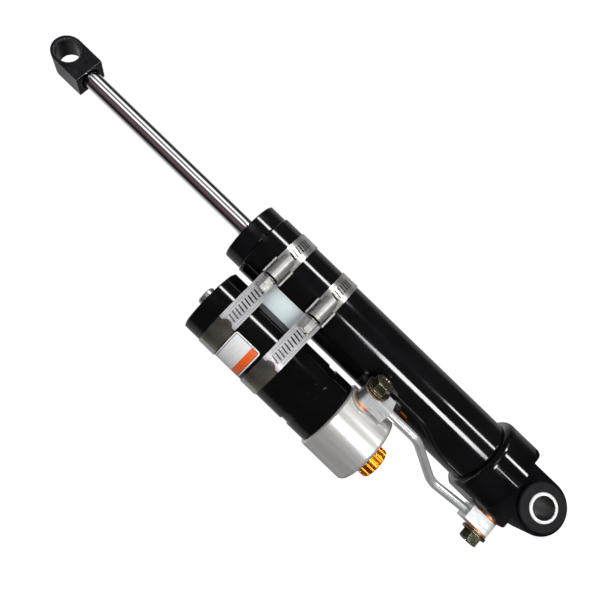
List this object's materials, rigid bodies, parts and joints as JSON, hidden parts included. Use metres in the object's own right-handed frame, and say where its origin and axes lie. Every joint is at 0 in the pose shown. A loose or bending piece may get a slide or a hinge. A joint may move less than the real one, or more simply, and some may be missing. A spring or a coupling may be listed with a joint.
{
  "type": "gas shock absorber",
  "caption": "Gas shock absorber with a side reservoir in band clamps, a banjo-fitted oil line, a damping knob, a lower eye with a sleeve, and a rod with an eye block.",
  "frame": {"origin": "centre of the lower eye's bore, at the middle of its length", "axes": "+Z from the lower eye up along the rod; +Y along the lower eye's bore, away from the side with the clamp screws; the reservoir hangs on the -X side"},
  "size_m": [0.1073, 0.0653, 0.4676],
  "materials": {
    "black_paint": "gloss black enamel",
    "bush_plastic": "moulded, matt charcoal",
    "steel": "plain machined steel",
    "clamp_steel": "polished stainless steel",
    "rod_chrome": "hard chrome, ground",
    "aluminium": "turned, satin",
    "orange_anodised": "orange anodised",
    "zinc": "bright zinc plated",
    "olive_zinc": "olive zinc plated",
    "copper": "soft copper",
    "bronze": "sintered bronze or brass",
    "nylon": "translucent bluish white",
    "label_white": "blank white film with an orange strip",
    "rubber": "nitrile, black",
    "guide_band": "filled slide ring"
  },
  "bodies": {
    "damper_body": {"shock_tube": "black_paint", "lower_end_cap": "black_paint", "end_cap_o_ring": "rubber", "eye_bush_front": "bush_plastic", "eye_bush_back": "bush_plastic", "dust_cap": "black_paint", "lock_pin": "steel", "rod_wiper": "rubber", "seal_head": "aluminium", "seal_head_o_ring": "rubber", "seal_head_circlip": "steel", "rod_bushing": "bronze", "rod_seal": "rubber", "upper_clamp_band": "clamp_steel", "upper_clamp_housing": "clamp_steel", "lower_clamp_band": "clamp_steel", "lower_clamp_housing": "clamp_steel", "saddle_spacer": "nylon", "reservoir_tube": "black_paint", "reservoir_cap": "black_paint", "reservoir_cap_o_ring": "rubber", "reservoir_circlip": "steel", "gas_valve": "bronze", "valve_core": "steel", "valve_cap": "aluminium", "reservoir_head": "aluminium", "head_o_ring": "rubber", "spindle_o_ring": "rubber", "needle_seat": "steel", "detent_ball": "steel", "detent_spring": "steel", "upper_banjo_bolt": "olive_zinc", "upper_banjo_block": "zinc", "upper_washers": "copper", "lower_banjo_bolt": "olive_zinc", "lower_banjo_block": "zinc", "lower_washers": "copper", "crossover_pipe": "zinc", "reservoir_label": "label_white"},
    "piston_carrier": {"piston_band": "guide_band"},
    "rod": {"piston_rod": "rod_chrome", "rod_end": "black_paint", "top_out_bumper": "rubber", "rebound_plate": "steel", "rebound_shims": "steel", "piston": "aluminium", "compression_shims": "steel", "compression_plate": "steel", "piston_nut": "steel"},
    "floating_piston": {"floating_piston": "aluminium", "floating_piston_o_ring": "rubber", "floating_piston_band": "guide_band"},
    "adjuster": {"adjuster_knob": "orange_anodised", "knob_screw": "steel", "adjuster_spindle": "steel"},
    "needle": {"metering_needle": "steel"},
    "sleeve": {"eye_sleeve": "steel"},
    "upper_screw": {"upper_clamp_screw": "clamp_steel"},
    "lower_screw": {"lower_clamp_screw": "clamp_steel"}
  },
  "joints": [
    {"name": "rod_slide", "type": "slide", "parent": "damper_body", "child": "piston_carrier", "axis": [0, 0, -1], "range_m": [0, 0.13], "stiffness_N_per_m": 300, "springref_m": -0.5},
    {"name": "rod_turn", "type": "hinge", "parent": "piston_carrier", "child": "rod", "pos_m": [0, 0, 0.2], "axis": [0, 0, 1], "continuous": true},
    {"name": "floating_piston_slide", "type": "slide", "parent": "damper_body", "child": "floating_piston", "axis": [0, 0, 1], "range_m": [0, 0.0132]},
    {"name": "adjuster_turn", "type": "hinge", "parent": "damper_body", "child": "adjuster", "pos_m": [-0.0545, 0, 0.1], "axis": [0, 0, 1], "range_deg": [0, 300]},
    {"name": "needle_slide", "type": "slide", "parent": "damper_body", "child": "needle", "axis": [0, 0, 1], "range_m": [0, 0.00125]},
    {"name": "sleeve_turn", "type": "hinge", "parent": "damper_body", "child": "sleeve", "pos_m": [0, 0, 0], "axis": [0, 1, 0], "continuous": true},
    {"name": "upper_screw_turn", "type": "hinge", "parent": "damper_body", "child": "upper_screw", "pos_m": [-0.0198, -0.03035, 0.2326], "axis": [1, 0.0068, 0], "continuous": true},
    {"name": "lower_screw_turn", "type": "hinge", "parent": "damper_body", "child": "lower_screw", "pos_m": [-0.0198, -0.03035, 0.195], "axis": [1, 0.0068, 0], "continuous": true}
  ],
  "couplings": [
    {"joint": "floating_piston_slide", "follows": "rod_slide", "ratio": 0.10081},
    {"joint": "adjuster_turn", "follows": "needle_slide", "rad_per_m": 4188.8}
  ]
}
